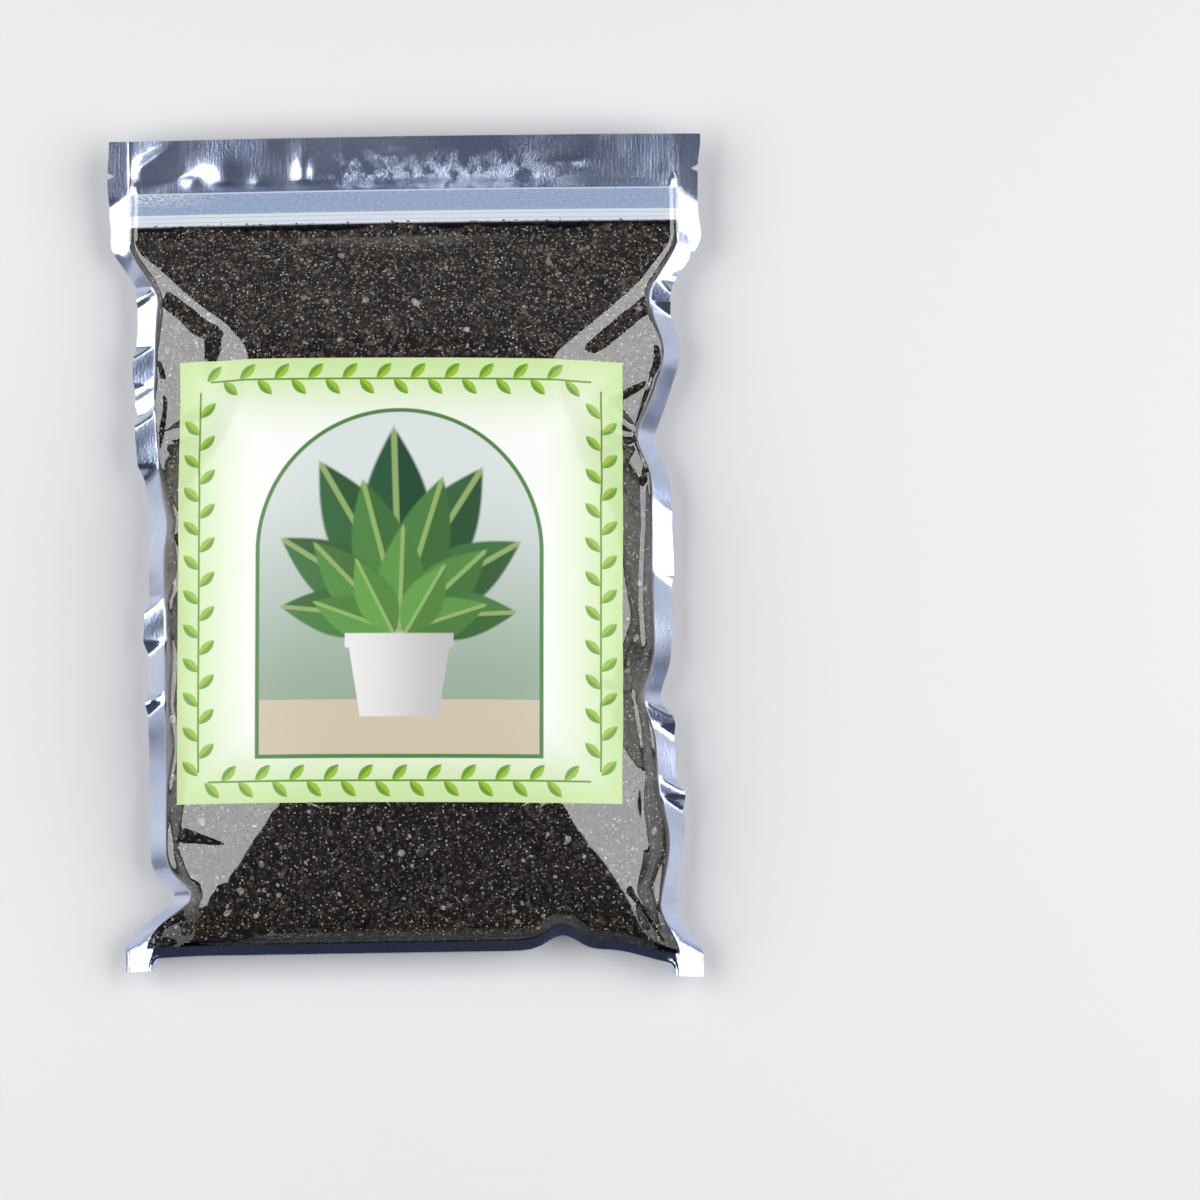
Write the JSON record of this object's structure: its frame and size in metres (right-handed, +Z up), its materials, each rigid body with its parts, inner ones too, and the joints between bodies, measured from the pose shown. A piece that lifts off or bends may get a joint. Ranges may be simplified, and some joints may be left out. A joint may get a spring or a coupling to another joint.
{
  "type": "pouch of potting soil",
  "caption": "Flat sealed pouch with a clear front, foil back, press-to-close zip and square paper label, filled with dark potting mix and lying on its back.",
  "frame": {"origin": "on the surface that the pouch lies on, under the middle of its outline", "axes": "+X across the label to its right, +Y along the pouch from the foot seal to the top edge, +Z up through the label"},
  "size_m": [0.2038, 0.289, 0.0427],
  "materials": {
    "clear_film": "clear glossy packaging film",
    "silver_foil": "glossy metallised film",
    "zip_plastic": "translucent moulded plastic",
    "potting_mix": "loose dark peat and bark crumb with pale perlite grains",
    "printed_paper": "coated paper with a green leaf print"
  },
  "bodies": {
    "root": {"front_film": "clear_film", "back_foil": "silver_foil", "zip_front_track": "zip_plastic", "zip_back_track": "zip_plastic", "soil_fill": "potting_mix", "label": "printed_paper"}
  },
  "joints": []
}
